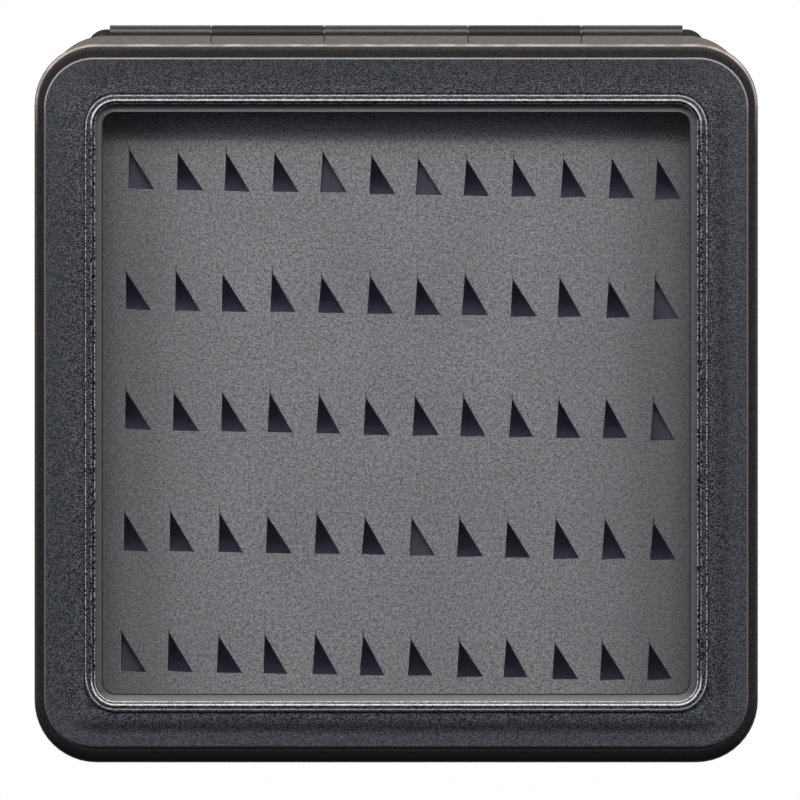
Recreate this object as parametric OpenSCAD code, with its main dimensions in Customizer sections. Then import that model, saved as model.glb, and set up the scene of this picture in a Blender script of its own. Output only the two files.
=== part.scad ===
// Fly box: a shallow hinged case for fishing flies. Its lid holds a clear window, its tray holds
// a foam sheet with rows of slots for the hooks, a pin joins the two along the back, and a small
// lever under the lid's front edge latches them.
// Millimetres. +Z is up, the hinge is at +Y, the latch at -Y, and the origin is the middle of the
// rest face. The lid is drawn shut, with the latch lever just off its catch.

/* [Lid] */
// Width of the lid, side to side
lid_w = 135; // [115:1:160]
// Depth of the lid, front to back
lid_d = 134.2; // [115:0.1:160]
// Corner radius of the lid in plan
corner_r = 11.6; // [9:0.1:15]
// Height of the lid from its lower edge to its face
lid_h = 7.4; // [7:0.1:11]
// Height of the grained face panel above the rim
panel_h = 0.2; // [0.15:0.05:0.5]
// Width of the chamfer round the face panel
panel_chamfer = 0.3; // [0.1:0.05:0.5]
// How far the flat of the rim falls from the panel to the rounded edge
rim_fall = 0.1; // [0.05:0.05:0.4]
// Width of the rounded edge of the rim
dome_w = 0.8; // [0.5:0.05:1]
// Height of the rounded edge of the rim
dome_h = 0.27; // [0.15:0.01:0.5]
// Width of the rim at the left and right, seen from above
side_round = 1.8; // [1.2:0.1:2.6]
// Width of the rim at the front and back, seen from above
end_round = 2.7; // [1.4:0.1:3.2]
// Radius of the corner between the rim and the skirt
edge_r = 0.3; // [0.1:0.05:0.4]
// Thickness of the lid's skirt
skirt_t = 2.4; // [2:0.1:2.8]
// Thickness of the lid's top plate
plate_t = 2.2; // [2:0.1:3]

/* [Window] */
// Width of the clear opening in the top plate
window_w = 112.8; // [80:0.1:115]
// Depth of the clear opening in the top plate
window_d = 111.9; // [80:0.1:114]
// Corner radius of the clear opening
window_r = 4.05; // [2:0.05:5]
// Width of the ledge that carries the pane, round the opening
ledge_w = 1.8; // [1.6:0.05:2.6]
// Thickness of that ledge
ledge_t = 0.8; // [0.6:0.1:1]
// Thickness of the clear mounting tape under the pane
tape_t = 0.25; // [0.1:0.05:0.4]
// How far the tape reaches in past the ledge, on the underside of the pane
tape_reach = 1.65; // [0.2:0.05:3]
// Thickness of the clear pane
pane_t = 0.9; // [0.7:0.05:1]
// Width of the raised bezel that holds the pane down
bezel_w = 1.4; // [1:0.1:2]
// Height of the bezel's crest above the pane
bezel_h = 0.85; // [0.7:0.05:1.2]
// Height of the bezel's outer edge above the pane, where its slope starts
bezel_edge_h = 0.6; // [0.4:0.05:0.65]
// Width of the low toe along the inside of the bezel
toe_w = 0.5; // [0.3:0.05:0.8]
// Height of that toe
toe_h = 0.25; // [0.15:0.05:0.4]

/* [Tray] */
// Height of the tray from the rest face to the seam
tray_h = 12.8; // [12.4:0.1:18]
// Thickness of the tray's floor
floor_t = 2; // [1.4:0.1:2.6]
// Thickness of the tray's wall
wall_t = 2; // [1.8:0.1:2.4]
// Thickness of the flange that the lid closes on
flange_t = 1.9; // [1.5:0.1:2.4]
// How far the wall stands in from the lid's edge, below the flange
wall_inset = 2.8; // [2.6:0.1:3.4]
// How much narrower each side of the wall is at the floor than at the flange
draft = 0.5; // [0:0.1:1]
// Radius of the tray's lower edge
foot_round = 2; // [1:0.1:3]
// Height of the lip that stands inside the skirt
lip_h = 2; // [1:0.1:3]
// Thickness of that lip
lip_t = 1.2; // [1:0.1:1.4]

/* [Foam] */
// Thickness of the foam sheet
foam_t = 10.3; // [7:0.1:10.8]
// Thickness of the adhesive under it
glue_t = 0.2; // [0.1:0.05:0.4]
// Rows of slots, front to back
rows = 5; // [2:1:5]
// Slots in each row
columns = 12; // [4:1:12]
// Distance between rows
row_pitch = 22.4; // [18:0.1:23]
// Distance between slots in a row
column_pitch = 8.9; // [7:0.1:9.2]
// Width of a slot at its foot
slot_w = 4.4; // [3:0.1:5]
// Height of a slot's upright side
slot_h = 7.5; // [5:0.1:9]
// Length of the slit above a slot
slit_l = 4.2; // [2:0.1:6]
// Width of that slit
slit_w = 0.25; // [0.15:0.05:0.5]
// Depth of the slots in the foam
slot_depth = 6.4; // [3:0.1:6.6]
// How far the pattern is turned clockwise in the sheet, in degrees
pattern_turn = 1.15; // [0:0.05:2]

/* [Hinge] */
// Radius of the hinge barrel
barrel_r = 1.5; // [1.3:0.05:1.8]
// Length of the hinge barrel
barrel_l = 107.2; // [90:0.1:108]
// Length of the middle knuckle, on the tray
middle_l = 26.8; // [16:0.1:36]
// Length of each lid knuckle
lid_knuckle_l = 21; // [12:0.1:26]
// Radius of the hinge pin
pin_r = 0.65; // [0.4:0.05:0.75]
// Distance of the hinge axis behind the lid's back edge
axis_back = 2.1; // [1.9:0.05:2.4]
// Distance of the hinge axis below the seam
axis_drop = 2; // [1.9:0.05:2.4]

/* [Latch] */
// Width of the latch lever
lever_w = 26; // [16:0.5:34]
// Length of the lever below its pivot
lever_l = 10.2; // [9.6:0.1:10.4]
// Thickness of the lever
lever_t = 1.2; // [1:0.05:1.3]
// Radius of the lever's knuckle
lever_knuckle_r = 1.1; // [0.95:0.05:1.2]
// Radius of the latch pin
latch_pin_r = 0.5; // [0.35:0.05:0.6]
// How far the latch pin goes into the lid on each side
latch_pin_seat = 3; // [2:0.1:5]
// How far the hook reaches behind its catch
hook_bite = 0.75; // [0.5:0.05:0.8]
// How far the lever stands off its catch as drawn, in degrees
lever_ajar = 6; // [6:0.1:7]

/* [Clearances] */
// Gap at the seam between tray and lid
seam_gap = 0.2; // [0.1:0.05:0.4]
// Gap between the tray's lip and the lid's skirt
lip_gap = 0.25; // [0.2:0.05:0.4]
// Gap between neighbouring hinge knuckles
knuckle_gap = 0.15; // [0.1:0.01:0.4]
// Running clearance on the radius of each pin
run_gap = 0.05; // [0.02:0.01:0.1]
// Clearance on the radius of a pin in the piece that holds it
hold_gap = 0.01; // [0.01:0.005:0.02]
// Gap round the pane, the bezel and the foam
fit_gap = 0.15; // [0.05:0.05:0.3]
// Gap round the latch lever
lever_gap = 0.3; // [0.2:0.05:0.5]

/* [Hidden] */
$fn = 64;

// A slice this thin stands for an outline inside a hull.
slice = 0.01;
// Cuts run this far past what they cut.
past = 1;

// Heights.
seam_z = tray_h;
lid_z = seam_z + seam_gap;
face_z = lid_z + lid_h;
rim_z = face_z - panel_h;
dome_z = rim_z - rim_fall - dome_h;
plate_z = face_z - plate_t;
seat_z = plate_z + ledge_t;
pane_z = seat_z + tape_t;
foam_z = floor_t + glue_t;
flange_z = seam_z - flange_t;

// Plan sizes.
lid_x = lid_w / 2;
lid_y = lid_d / 2;
dome_outer_tilt = 34;
dome_inner_tilt = 4;
dome_steps = 6;
rim_tuck = 0.4;
panel_root = 0.5;
skirt_r = corner_r - skirt_t;
lip_w = lid_w - 2 * (skirt_t + lip_gap);
lip_d = lid_d - 2 * (skirt_t + lip_gap);
lip_r = skirt_r - lip_gap;
wall_w = lid_w - 2 * wall_inset;
wall_d = lid_d - 2 * wall_inset;
wall_r = corner_r - wall_inset;
cavity_w = wall_w - 2 * wall_t;
cavity_d = wall_d - 2 * wall_t;
cavity_r = wall_r - wall_t;
foam_w = cavity_w - 2 * fit_gap;
foam_d = cavity_d - 2 * fit_gap;
foam_r = cavity_r - fit_gap;
pocket_w = window_w + 2 * ledge_w;
pocket_d = window_d + 2 * ledge_w;
pocket_r = window_r + ledge_w;
pane_w = pocket_w - 2 * fit_gap;
pane_d = pocket_d - 2 * fit_gap;
pane_r = pocket_r - fit_gap;

// Flange: it stands in from the lid's edge at the sides and front, and runs on behind the lid
// as a sloping ledge, down to the barrel.
flange_inset = 1.9;
flange_front = 0.7;
ledge_back = axis_back - 0.55;
ledge_drop = 0.35;

// Hinge.
axis_y = lid_y + axis_back;
axis_z = seam_z - axis_drop;
arm_seat = 1.8;
arm_rise = 1;
arm_y = lid_y - arm_seat;
barrel_end = barrel_l / 2;
lid_knuckle_x = middle_l / 2 + knuckle_gap;
web_w = barrel_l + 8.4;
web_r = 3.5;
web_back = axis_y + 0.7;
web_top = axis_z + 0.8;
web_t = 4.6;
beam_back = axis_y + barrel_r - 0.2;
notch_z = axis_z - 2.7;

// Latch, with y counted to the front as a negative number.
pivot_y = -(lid_y - lever_knuckle_r - 0.25);
pivot_z = lid_z + 2;
lever_in = pivot_y + lever_knuckle_r - 0.05;
lever_out = lever_in - lever_t;
pocket_y = pivot_y + lever_knuckle_r + 0.15;
catch_y = lever_in + 0.15;
hook_in = catch_y + hook_bite;
hook_h = 1.15;
lever_foot = pivot_z - lever_l;
catch_z = lever_foot + 1.7;
catch_h = 1.3;
catch_w = lever_w - 6;
grip = 0.15;
lever_corner_r = 1.5;
recess_y = hook_in + 0.15;
latch_w = lever_w + 2 * lever_gap;
boss_w = latch_w + 2 * latch_pin_seat + 1;
boss_y = -(lid_y - skirt_t - 1);

// A rectangle with round corners, in the middle of its own plane.
module rounded_outline(w, d, r) {
    square([w - 2 * r, d], center = true);
    square([w, d - 2 * r], center = true);
    for (x = [-1, 1], y = [-1, 1])
        translate([x * (w / 2 - r), y * (d / 2 - r)])
            circle(r);
}

module rounded_plate(w, d, r, h) {
    linear_extrude(h)
        rounded_outline(w, d, r);
}

// Runs a profile along X. The profile's first axis is Y and its second is Z.
module along_x(from, to) {
    translate([from, 0, 0])
        rotate([90, 0, 90])
            linear_extrude(to - from)
                children();
}

// Sweeps a profile round a rounded rectangle. Its first axis points outwards from the line.
module around(w, d, r) {
    for (side = [0 : 3]) {
        run = side % 2 == 0 ? w : d;
        reach = side % 2 == 0 ? d : w;
        rotate(90 * side) {
            translate([-(run / 2 - r), reach / 2, 0])
                rotate([90, 0, 90])
                    linear_extrude(run - 2 * r)
                        children();
            translate([run / 2 - r, reach / 2 - r, 0])
                rotate_extrude(angle = 90)
                    translate([r, 0])
                        children();
        }
    }
}

// Outline of the flange: level with the lid at the front and sides, reaching back by extra.
module flange_outline(extra) {
    d = lid_d - flange_front + extra;
    translate([0, (flange_front + extra) / 2])
        rounded_outline(lid_w - 2 * flange_inset, d, corner_r - 0.4);
}

// The tray's wall and floor as one block: drafted sides over a rounded lower edge.
module tray_block() {
    hull() {
        for (turn = [0 : 30 : 90]) {
            inset = draft + foot_round * (1 - sin(turn));
            translate([0, 0, foot_round * (1 - cos(turn))])
                rounded_plate(wall_w - 2 * inset, wall_d - 2 * inset, wall_r - inset, slice, $fn = 40);
        }
        translate([0, 0, flange_z])
            rounded_plate(wall_w, wall_d, wall_r, slice, $fn = 40);
    }
}

// The flange, with the ledge behind the lid sloping down to the barrel.
module tray_flange() {
    translate([0, 0, flange_z])
        linear_extrude(flange_t - ledge_drop)
            flange_outline(ledge_back);
    hull() {
        translate([0, 0, seam_z - ledge_drop - slice])
            linear_extrude(slice)
                flange_outline(ledge_back, $fn = 40);
        translate([0, 0, seam_z - slice])
            linear_extrude(slice)
                flange_outline(0, $fn = 40);
    }
}

// The lip that keeps the lid in line, open in the middle of the front for the latch.
module tray_lip() {
    translate([0, 0, seam_z - slice])
        difference() {
            rounded_plate(lip_w, lip_d, lip_r, lip_h);
            translate([0, 0, -past])
                rounded_plate(lip_w - 2 * lip_t, lip_d - 2 * lip_t, lip_r - lip_t, lip_h + 2 * past);
            translate([-boss_w / 2 - lever_gap, -lid_y, -past])
                cube([boss_w + 2 * lever_gap, lid_y / 2, lip_h + 2 * past]);
        }
}

// Web and barrel along the back, with a beam under the barrel that runs on below the lid's knuckles.
module tray_hinge() {
    translate([0, web_back - 6, web_top - web_t])
        rounded_plate(web_w, 12, web_r, web_t);
    along_x(-barrel_end, barrel_end)
        translate([axis_y, axis_z])
            circle(barrel_r);
    along_x(-barrel_end, barrel_end)
        translate([arm_y, web_top - web_t])
            square([beam_back - arm_y, axis_z - web_top + web_t]);
}

// The gaps in web, barrel and flange that the lid's knuckles turn in.
module knuckle_notches() {
    length = lid_knuckle_l + 2 * knuckle_gap;
    for (side = [-1, 1])
        translate([side * (middle_l / 2 + length / 2), 0, 0])
            translate([-length / 2, arm_y - 0.2, notch_z])
                cube([length, 10, seam_z - notch_z + past]);
}

// The bar that the lever's hook goes under, sloped on top so that the hook rides over it.
module latch_catch() {
    along_x(-catch_w / 2, catch_w / 2)
        polygon([
            [recess_y + 0.2, catch_z],
            [catch_y, catch_z],
            [catch_y, catch_z + 0.4],
            [recess_y, catch_z + catch_h],
            [recess_y + 0.2, catch_z + catch_h],
        ]);
}

module base_tray() {
    color("#1d1d20") {
        difference() {
            union() {
                tray_block();
                tray_flange();
                tray_hinge();
            }
            translate([0, 0, floor_t])
                rounded_plate(cavity_w, cavity_d, cavity_r, tray_h);
            knuckle_notches();
            along_x(-barrel_end + pin_r, barrel_end + past)
                translate([axis_y, axis_z])
                    circle(pin_r + hold_gap);
            translate([-latch_w / 2, recess_y - 20, lever_foot - 0.9])
                cube([latch_w, 20, tray_h]);
        }
        tray_lip();
        latch_catch();
    }
}

// One slot for a hook: a right triangle with a thin slit running on from its tip.
module slot_outline() {
    polygon([
        [0, 0],
        [slot_w, 0],
        [slit_w, slot_h],
        [slit_w, slot_h + slit_l],
        [0, slot_h + slit_l],
    ]);
}

// The slots, in rows that sit a little forward of the sheet's middle.
module slot_pattern() {
    first_x = -(columns - 1) / 2 * column_pitch - 1.4;
    first_y = -(rows - 1) / 2 * row_pitch - 5.8;
    rotate(-pattern_turn)
        for (row = [0 : rows - 1], column = [0 : columns - 1])
            translate([first_x + column * column_pitch, first_y + row * row_pitch])
                slot_outline();
}

module foam_insert() {
    color("#6f7174")
        translate([0, 0, foam_z])
            difference() {
                rounded_plate(foam_w, foam_d, foam_r, foam_t);
                translate([0, 0, foam_t - slot_depth])
                    linear_extrude(slot_depth + past)
                        slot_pattern();
            }
}

module foam_adhesive() {
    color("#d8d4c4")
        translate([0, 0, floor_t])
            rounded_plate(foam_w - 2, foam_d - 2, foam_r - 1, glue_t);
}

module hinge_pin() {
    color("silver")
        along_x(-barrel_end + pin_r, barrel_end - 0.3)
            translate([axis_y, axis_z])
                circle(pin_r);
}

// One level of the lid's outside, with its own inset at the sides and at the front and back.
module lid_level(side, end, z) {
    translate([0, 0, z - slice])
        rounded_plate(
            lid_w - 2 * side, lid_d - 2 * end, corner_r - (side + end) / 2, slice, $fn = 48
        );
}

// The grained face panel: its chamfer stands up from the rim as a crease.
module face_panel() {
    panel_w = lid_w - 2 * side_round;
    panel_d = lid_d - 2 * end_round;
    panel_r = corner_r - (side_round + end_round) / 2;
    difference() {
        translate([0, 0, rim_z - panel_root])
            rounded_plate(panel_w, panel_d, panel_r, panel_root + panel_h);
        translate([0, 0, rim_z])
            around(panel_w, panel_d, panel_r)
                polygon([
                    [panel_chamfer, -panel_h],
                    [panel_chamfer, 2 * panel_h],
                    [-2 * panel_chamfer, 2 * panel_h],
                ]);
    }
}

// The lid's outside: a straight skirt, a small round corner, the rim's rounded edge, its nearly
// flat part, and the face panel on it.
module lid_block() {
    corner_in = edge_r * (1 - sin(dome_outer_tilt));
    corner_z = dome_z - edge_r * cos(dome_outer_tilt);
    outer_sin = sin(dome_outer_tilt);
    outer_cos = cos(dome_outer_tilt);
    hull() {
        lid_level(0, 0, lid_z + slice);
        for (tilt = [90, 62])
            lid_level(edge_r * (1 - sin(tilt)), edge_r * (1 - sin(tilt)), corner_z + edge_r * cos(tilt));
        for (step = [0 : dome_steps]) {
            tilt = dome_outer_tilt + (dome_inner_tilt - dome_outer_tilt) * step / dome_steps;
            lean = (outer_sin - sin(tilt)) / (outer_sin - sin(dome_inner_tilt));
            rise = (cos(tilt) - outer_cos) / (cos(dome_inner_tilt) - outer_cos);
            inset = corner_in + (dome_w - corner_in) * lean;
            lid_level(inset, inset, dome_z + dome_h * rise);
        }
        lid_level(side_round + rim_tuck, end_round + rim_tuck, rim_z);
    }
    face_panel();
}

// A lid knuckle, with the arm that carries it from under the skirt, flush with the ledge.
module lid_knuckle() {
    along_x(0, lid_knuckle_l)
        difference() {
            union() {
                translate([axis_y, axis_z])
                    circle(barrel_r);
                polygon([
                    [arm_y, lid_z + 0.3],
                    [lid_y, lid_z + 0.3],
                    [lid_y, seam_z],
                    [lid_y + ledge_back, seam_z - ledge_drop],
                    [lid_y + ledge_back, axis_z],
                    [axis_y - barrel_r, axis_z],
                    [arm_y, axis_z + arm_rise],
                ]);
            }
            translate([axis_y, axis_z])
                circle(pin_r + run_gap);
        }
}

// The pocket in the front of the lid that the lever's knuckle sits in.
module latch_pocket() {
    translate([-latch_w / 2, -lid_y - past, lid_z - past])
        cube([latch_w, lid_y + past + pocket_y, pivot_z - lid_z + past + lever_knuckle_r + lever_gap]);
}

module lid_frame() {
    color("#232428") {
        difference() {
            union() {
                difference() {
                    lid_block();
                    translate([0, 0, lid_z - past])
                        rounded_plate(
                            lid_w - 2 * skirt_t, lid_d - 2 * skirt_t, skirt_r, lid_h - plate_t + past
                        );
                    translate([0, 0, seat_z])
                        rounded_plate(pocket_w, pocket_d, pocket_r, plate_t);
                    translate([0, 0, plate_z - past])
                        rounded_plate(window_w, window_d, window_r, plate_t);
                }
                translate([-boss_w / 2, -lid_y + skirt_t / 2, lid_z])
                    cube([boss_w, boss_y + lid_y - skirt_t / 2, plate_z - lid_z]);
            }
            latch_pocket();
            along_x(-latch_w / 2 - latch_pin_seat, latch_w / 2 + latch_pin_seat)
                translate([pivot_y, pivot_z])
                    circle(latch_pin_r + hold_gap);
        }
        translate([lid_knuckle_x, 0, 0])
            lid_knuckle();
        translate([-lid_knuckle_x - lid_knuckle_l, 0, 0])
            lid_knuckle();
    }
}

module window_tape() {
    color("#6b6d70")
        translate([0, 0, seat_z])
            difference() {
                rounded_plate(pane_w, pane_d, pane_r, tape_t);
                translate([0, 0, -past])
                    rounded_plate(
                        window_w - 2 * tape_reach, window_d - 2 * tape_reach, window_r - tape_reach,
                        tape_t + 2 * past
                    );
            }
}

module window_pane() {
    color("#dfe6ea", 0.3)
        translate([0, 0, pane_z])
            rounded_plate(pane_w, pane_d, pane_r, pane_t);
}

// The bezel's profile, with its outer edge on the line that it is swept along. It slopes up to a
// crest near its inner edge, drops steeply, and ends in a low toe on the pane.
module bezel_profile() {
    polygon([
        [0, 0],
        [0, bezel_edge_h],
        [-bezel_w + 0.3, bezel_h],
        [-bezel_w + 0.12, bezel_h - 0.03],
        [-bezel_w, bezel_h - 0.25],
        [-bezel_w, toe_h],
        [-bezel_w - toe_w + 0.12, toe_h],
        [-bezel_w - toe_w, toe_h - 0.1],
        [-bezel_w - toe_w, 0],
    ]);
}

module window_bezel() {
    color("#2c2e33")
        translate([0, 0, pane_z + pane_t])
            around(pane_w, pane_d, pane_r)
                bezel_profile();
}

module latch_pin() {
    color("silver")
        along_x(-latch_w / 2 - latch_pin_seat + 0.1, latch_w / 2 + latch_pin_seat - 0.1)
            translate([pivot_y, pivot_z])
                circle(latch_pin_r);
}

// The lever's plate in side view when it is hooked, with its hook and a small lip for a fingernail.
module lever_plate() {
    polygon([
        [lever_in, pivot_z],
        [lever_in, catch_z - 0.15],
        [hook_in, catch_z - 0.15],
        [hook_in, catch_z - 0.6],
        [lever_in - 0.3, lever_foot],
        [lever_out - grip, lever_foot],
        [lever_out - grip, lever_foot + 0.9],
        [lever_out, lever_foot + 1.5],
        [lever_out, pivot_z],
    ]);
}

// The hooked lever: plate and knuckle, with the corners of the plate rounded.
module hooked_lever() {
    difference() {
        union() {
            intersection() {
                along_x(-lever_w / 2, lever_w / 2)
                    lever_plate();
                translate([0, pivot_y + 5, lever_foot + lever_l])
                    rotate([90, 0, 0])
                        linear_extrude(10)
                            rounded_outline(lever_w, 2 * lever_l, lever_corner_r);
            }
            along_x(-lever_w / 2, lever_w / 2)
                translate([pivot_y, pivot_z])
                    circle(lever_knuckle_r);
        }
        along_x(-lever_w / 2 - past, lever_w / 2 + past)
            translate([pivot_y, pivot_z])
                circle(latch_pin_r + run_gap);
    }
}

module latch_lever() {
    color("#1d1d20")
        translate([0, pivot_y, pivot_z])
            rotate([-lever_ajar, 0, 0])
                translate([0, -pivot_y, -pivot_z])
                    hooked_lever();
}

base_tray();
foam_insert();
foam_adhesive();
hinge_pin();
lid_frame();
window_tape();
window_pane();
window_bezel();
latch_pin();
latch_lever();
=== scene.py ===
# %% [markdown]
# # A fly box, seen from straight above
#
# The box is a shallow moulded case. Its lid is black plastic with a grained face and a smooth
# rim, a clear window sits in the lid inside a narrow bezel, and under it lies a sheet of grey
# foam with rows of slots for hooked flies. The shapes of the hard pieces come from the packed
# model, which is loaded first and never moved. What this file adds is their finish, the foam,
# the light and the camera.

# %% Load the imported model
import math
import random

import bmesh
import bpy
from mathutils import Matrix, Vector


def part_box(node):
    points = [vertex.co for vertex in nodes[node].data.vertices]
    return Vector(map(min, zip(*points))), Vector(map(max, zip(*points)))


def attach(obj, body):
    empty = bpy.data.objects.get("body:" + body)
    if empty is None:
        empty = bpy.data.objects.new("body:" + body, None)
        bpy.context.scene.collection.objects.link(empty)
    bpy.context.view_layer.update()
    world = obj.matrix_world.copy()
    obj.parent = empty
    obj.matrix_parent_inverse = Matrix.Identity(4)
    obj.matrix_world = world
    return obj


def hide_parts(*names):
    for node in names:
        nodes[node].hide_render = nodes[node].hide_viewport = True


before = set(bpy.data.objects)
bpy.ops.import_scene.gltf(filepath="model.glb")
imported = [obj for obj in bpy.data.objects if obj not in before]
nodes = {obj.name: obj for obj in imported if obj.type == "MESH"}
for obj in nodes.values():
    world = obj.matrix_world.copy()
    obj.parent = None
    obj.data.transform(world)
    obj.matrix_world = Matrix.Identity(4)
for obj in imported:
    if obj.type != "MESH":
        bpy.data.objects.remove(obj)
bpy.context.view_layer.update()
print("nodes:", sorted(nodes))

# %% [markdown]
# ## Sizes that the finishes need
#
# A finish such as the smooth rim or the thin line at the edge of the face follows the lid's
# outline, so its size is read from the lid itself. Only what can't be read from a box, such as
# a corner radius or the width of the rim, is a number here, in metres.

# %% Read the sizes of lid, window and foam
MM = 0.001
lid_low, lid_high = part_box("lid_frame")
pane_low, pane_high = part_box("window_pane")
_, tape_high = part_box("window_tape")
foam_low, foam_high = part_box("foam_insert")
_, bezel_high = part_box("window_bezel")

LID_HALF_WIDTH = lid_high.x
LID_HALF_DEPTH = -lid_low.y
LID_CORNER = 11.6 * MM
RIM_SIDE = 1.8 * MM
RIM_END = 2.7 * MM
BEZEL_CORNER = 5.7 * MM
print("lid", round(2 * LID_HALF_WIDTH / MM, 1), "by", round(2 * LID_HALF_DEPTH / MM, 1), "mm")
print("pane", round((pane_high.z - pane_low.z) / MM, 2), "mm thick")

# %% [markdown]
# ## The camera
#
# The photograph looks straight down on the lid from far away: opposite edges are parallel and
# almost no side wall shows. A long lens gives that. The lens is fixed first, and the distance
# follows from how many pixels a millimetre takes in the photograph.

# %% Place the camera
PHOTO_SIZE = 800
PIXELS_PER_MM = 5.352
LID_CENTRE_PIXEL = (396.2, 402.8)
LENS = 600
SENSOR = 36
FAR_END = 20
EDGE_Z = 16 * MM


def add_object(name, data):
    """Puts a camera, lamp, curve or mesh into the scene as an object."""
    added = bpy.data.objects.new(name, data)
    bpy.context.scene.collection.objects.link(added)
    return added


frame_width = PHOTO_SIZE / PIXELS_PER_MM * MM
distance = frame_width * LENS / SENSOR
camera_data = bpy.data.cameras.new("camera")
camera_data.lens = LENS
camera_data.sensor_width = SENSOR
camera_data.clip_end = FAR_END
camera = add_object("camera", camera_data)
camera.location = (
    (PHOTO_SIZE / 2 - LID_CENTRE_PIXEL[0]) / PIXELS_PER_MM * MM,
    (LID_CENTRE_PIXEL[1] - PHOTO_SIZE / 2) / PIXELS_PER_MM * MM,
    EDGE_Z + distance,
)
bpy.context.scene.camera = camera
print("camera", round(distance, 2), "m above the lid")

# %% [markdown]
# ## Light
#
# The lid throws a short shadow on the foam along the top of the window and none along the
# bottom, the ledge behind the lid shines, and so does the last bit of the rim on that side. So
# the light stands behind the hinge, about forty degrees from straight up. The foam also gets
# darker towards the left and right, over a wide stretch: the light is much longer than it is
# deep, and near a side wall part of it is hidden. Three strip lights in a row give that. A thin
# bright tube in their middle gives the crisp glints, as the tube in a real strip light does.
# The world fills in weakly and evenly, so the front rim stays nearly black.

# %% Add the lamps and the world
LAMP_ANGLE = math.radians(40)
LAMP_DISTANCE = 1.0
STRIP_LENGTH = 1.2
STRIP_DEPTH = 0.36
MIDDLE_POWER = 5.1
SIDE_POWER = 8.8
TUBE_DEPTH = 0.06
TUBE_POWER = 3.4
STRIP_COLOUR = (1, 0.965, 0.93)
TUBE_COLOUR = (1, 0.88, 0.81)
WORLD_LEVEL = 0.06
WORLD_COLOUR = (0.88, 0.80, 1)


def add_strip_light(name, sideways, power, depth, colour=STRIP_COLOUR):
    """A strip light on a line along X behind the hinge, turned towards the object."""
    data = bpy.data.lights.new(name, "AREA")
    data.color = colour
    data.shape = "RECTANGLE"
    data.size = STRIP_LENGTH
    data.size_y = depth
    data.energy = power
    lamp = add_object(name, data)
    lamp.location = (
        sideways,
        LAMP_DISTANCE * math.sin(LAMP_ANGLE),
        LAMP_DISTANCE * math.cos(LAMP_ANGLE),
    )
    lamp.rotation_mode = "QUATERNION"
    lamp.rotation_quaternion = lamp.location.to_track_quat("Z", "Y")


add_strip_light("middle_strip", 0, MIDDLE_POWER, STRIP_DEPTH)
add_strip_light("left_strip", -STRIP_LENGTH, SIDE_POWER, STRIP_DEPTH)
add_strip_light("right_strip", STRIP_LENGTH, SIDE_POWER, STRIP_DEPTH)
add_strip_light("bright_tube", 0, TUBE_POWER, TUBE_DEPTH, TUBE_COLOUR)

world = bpy.data.worlds.new("studio")
bpy.context.scene.world = world
world.use_nodes = True
world.node_tree.nodes["Background"].inputs["Color"].default_value = (*WORLD_COLOUR, 1)
world.node_tree.nodes["Background"].inputs["Strength"].default_value = WORLD_LEVEL
bpy.context.scene.view_settings.view_transform = "Standard"

# %% [markdown]
# ## Small helpers for materials
#
# Every finish below is a node tree. Short helpers keep the trees readable: the first few add a
# node, join two sockets and do mathematics. The next ones make masks, which are numbers from
# 0 to 1 that say where on the surface something is, and turn them into other values. The last
# two set up an effect that several materials share, as a group with named sockets, and place it.

# %% Add nodes and do mathematics
def add_node(tree, kind, values=None, **settings):
    """Adds a node, sets its properties from settings and its unlinked inputs from values."""
    node = tree.nodes.new(kind)
    for name, value in settings.items():
        setattr(node, name, value)
    for name, value in (values or {}).items():
        node.inputs[name].default_value = value
    return node


def join(tree, output, socket):
    """Links an output to an input."""
    tree.links.new(output, socket)


def maths(tree, operation, first, second=None, clamp=False):
    """A mathematics node on sockets or numbers, which gives back its output."""
    node = add_node(tree, "ShaderNodeMath", operation=operation, use_clamp=clamp)
    for place, value in enumerate((first, second)):
        if value is None:
            continue
        if isinstance(value, (int, float)):
            node.inputs[place].default_value = value
        else:
            join(tree, value, node.inputs[place])
    return node.outputs[0]


def times(tree, first, second):
    """One value times another."""
    return maths(tree, "MULTIPLY", first, second)


def larger(tree, first, second):
    """The larger of two values: of two masks, the area that either of them covers."""
    return maths(tree, "MAXIMUM", first, second)


def position(tree, axis):
    """One coordinate of the point in the object's own frame."""
    place = add_node(tree, "ShaderNodeTexCoord")
    split = add_node(tree, "ShaderNodeSeparateXYZ")
    join(tree, place.outputs["Object"], split.inputs[0])
    return split.outputs[axis]


print("node helpers ready")

# %% Make masks and turn them into values
LINE_CORE = 0.4
LINE_FADE = 1.4


def steps_between(tree, value, low, high, to_low=0.0, to_high=1.0):
    """Maps value smoothly from low..high to to_low..to_high."""
    node = add_node(tree, "ShaderNodeMapRange", interpolation_type="SMOOTHSTEP")
    node.inputs["From Min"].default_value = low
    node.inputs["From Max"].default_value = high
    node.inputs["To Min"].default_value = to_low
    node.inputs["To Max"].default_value = to_high
    join(tree, value, node.inputs["Value"])
    return node.outputs["Result"]


def share_to(tree, mask, without, within):
    """Turns a mask into a value: one number where it is 0, the other where it is 1."""
    return steps_between(tree, mask, 0.0, 1.0, without, within)


def past(tree, coordinate, half, band, level=1.0):
    """A mask that starts at one share of a half size and reaches its level at the next."""
    start, full = band
    return steps_between(tree, coordinate, start * half, full * half, 0.0, level)


def line_at(tree, distance_socket, place, width):
    """A mask that is 1 on a line at a given distance and fades out over its width."""
    away = maths(tree, "ABSOLUTE", maths(tree, "SUBTRACT", distance_socket, place))
    return steps_between(tree, away, LINE_CORE * width, LINE_FADE * width, 1.0, 0.0)


print("a line's mask is full to", LINE_CORE, "and gone at", LINE_FADE, "of its width")

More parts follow.
